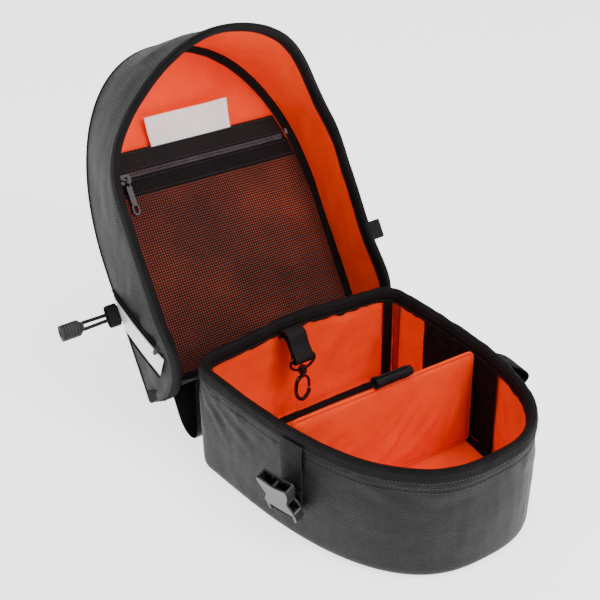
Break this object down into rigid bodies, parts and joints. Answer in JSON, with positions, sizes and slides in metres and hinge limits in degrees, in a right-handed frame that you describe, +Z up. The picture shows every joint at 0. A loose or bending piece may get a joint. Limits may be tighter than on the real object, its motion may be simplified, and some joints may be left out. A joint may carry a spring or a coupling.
{
  "type": "pannier bag",
  "caption": "Soft rack-top pannier bag: tongue-shaped tub with a padded divider and a hooded lid that folds back on its flat end.",
  "frame": {"origin": "bottom centre of the base", "axes": "+Z up, the round nose toward -Y, the lid's hinge side toward +Y, width along X; lid stored open"},
  "size_m": [0.3236, 0.4861, 0.3579],
  "materials": {
    "shell": "coated woven polyester, dark grey",
    "board": "sheet stiffener",
    "lining": "plain woven nylon, orange",
    "foam": "closed-cell foam sheet",
    "mesh": "knitted netting",
    "hook_and_loop": "loop pile",
    "zipper_tape_coil": "nylon coil",
    "slider_metal": "black painted die casting",
    "reflective": "silver reflective tape",
    "label": "white woven label, blank",
    "cord": "braided elastic cord",
    "moulded_plastic": "moulded acetal",
    "webbing": "black woven webbing"
  },
  "bodies": {
    "tub": {"tub_wall": "shell", "tub_base": "shell", "base_board": "board", "wall_foam": "foam", "tub_lining": "lining", "tub_rim_binding": "webbing", "corner_tape_left": "webbing", "corner_tape_right": "webbing", "loop_field_left": "hook_and_loop", "loop_field_right": "hook_and_loop", "key_strap": "webbing", "buckle_strap_left": "webbing", "buckle_strap_right": "webbing", "spine_fold": "shell"},
    "lid": {"lid_panel": "shell", "lid_gusset": "shell", "lid_board": "board", "lid_panel_lining": "lining", "lid_gusset_lining": "lining", "lid_rim_binding": "webbing", "lid_seam_tape": "webbing", "pocket_header": "webbing", "pocket_tape": "webbing", "pocket_mesh": "mesh", "zipper_coil": "zipper_tape_coil", "zipper_stop_left": "zipper_tape_coil", "zipper_stop_right": "zipper_tape_coil", "blank_label": "label", "reflective_strip_left": "reflective", "strip_piping_left": "webbing", "reflective_strip_right": "reflective", "strip_piping_right": "webbing", "spine_flap": "shell", "shock_cord": "cord", "cord_loop_left_1": "webbing", "cord_loop_left_2": "webbing", "cord_loop_left_3": "webbing", "cord_loop_left_4": "webbing", "cord_loop_right_1": "webbing", "cord_loop_right_2": "webbing", "cord_loop_right_3": "webbing", "cord_loop_right_4": "webbing", "cord_pull": "moulded_plastic", "lid_pull_tab": "webbing"},
    "slider": {"zipper_slider": "slider_metal"},
    "pull": {"zipper_pull": "moulded_plastic"},
    "divider": {"divider_pad": "lining", "divider_hook_tab_left": "hook_and_loop", "divider_hook_tab_right": "hook_and_loop", "divider_grab_loop": "webbing"},
    "key_bail": {"key_bail": "moulded_plastic"},
    "key_hook": {"key_hook": "moulded_plastic"},
    "key_gate": {"key_gate": "moulded_plastic"},
    "socket_left": {"buckle_socket_left": "moulded_plastic"},
    "socket_right": {"buckle_socket_right": "moulded_plastic"},
    "plug_left": {"plug_strap_left": "webbing", "closing_plug_left": "moulded_plastic"},
    "plug_right": {"plug_strap_right": "webbing", "closing_plug_right": "moulded_plastic"}
  },
  "joints": [
    {"name": "lid_hinge", "type": "hinge", "parent": "tub", "child": "lid", "pos_m": [0, 0.139, 0.084], "axis": [1, 0, 0], "range_deg": [0, 120.8]},
    {"name": "zip_slide", "type": "slide", "parent": "lid", "child": "slider", "axis": [1, 0, 0], "range_m": [-0.017, 0.176]},
    {"name": "pull_lift", "type": "hinge", "parent": "slider", "child": "pull", "pos_m": [-0.0795, 0.28217, 0.21461], "axis": [1, 0, 0], "range_deg": [-170, 0]},
    {"name": "divider_slide", "type": "slide", "parent": "tub", "child": "divider", "axis": [0, 1, 0], "range_m": [-0.016, 0.05]},
    {"name": "bail_swing", "type": "hinge", "parent": "tub", "child": "key_bail", "pos_m": [-0.012, 0.1051, 0.0855], "axis": [1, 0, 0], "range_deg": [-60, 20]},
    {"name": "hook_swivel", "type": "hinge", "parent": "key_bail", "child": "key_hook", "pos_m": [-0.012, 0.1051, 0.0725], "axis": [0, 0, 1], "range_deg": [-90, 90]},
    {"name": "gate_press", "type": "hinge", "parent": "key_hook", "child": "key_gate", "pos_m": [-0.0086, 0.1051, 0.0651], "axis": [0, 1, 0], "range_deg": [0, 22], "stiffness_Nm_per_rad": 0.002, "springref_deg": -11.46},
    {"name": "socket_swing_left", "type": "hinge", "parent": "tub", "child": "socket_left", "pos_m": [-0.11785, -0.01216, 0.034], "axis": [0.1564, -0.9877, 0], "range_deg": [-4, 95]},
    {"name": "socket_swing_right", "type": "hinge", "parent": "tub", "child": "socket_right", "pos_m": [0.11785, -0.01216, 0.034], "axis": [0.1564, 0.9877, 0], "range_deg": [-4, 95]},
    {"name": "plug_fold_left", "type": "hinge", "parent": "lid", "child": "plug_left", "pos_m": [-0.11108, 0.27474, 0.17597], "axis": [0, 0.512, 0.859], "range_deg": [0, 170]},
    {"name": "plug_fold_right", "type": "hinge", "parent": "lid", "child": "plug_right", "pos_m": [0.11108, 0.27474, 0.17597], "axis": [0, 0.512, 0.859], "range_deg": [-170, 0]}
  ]
}
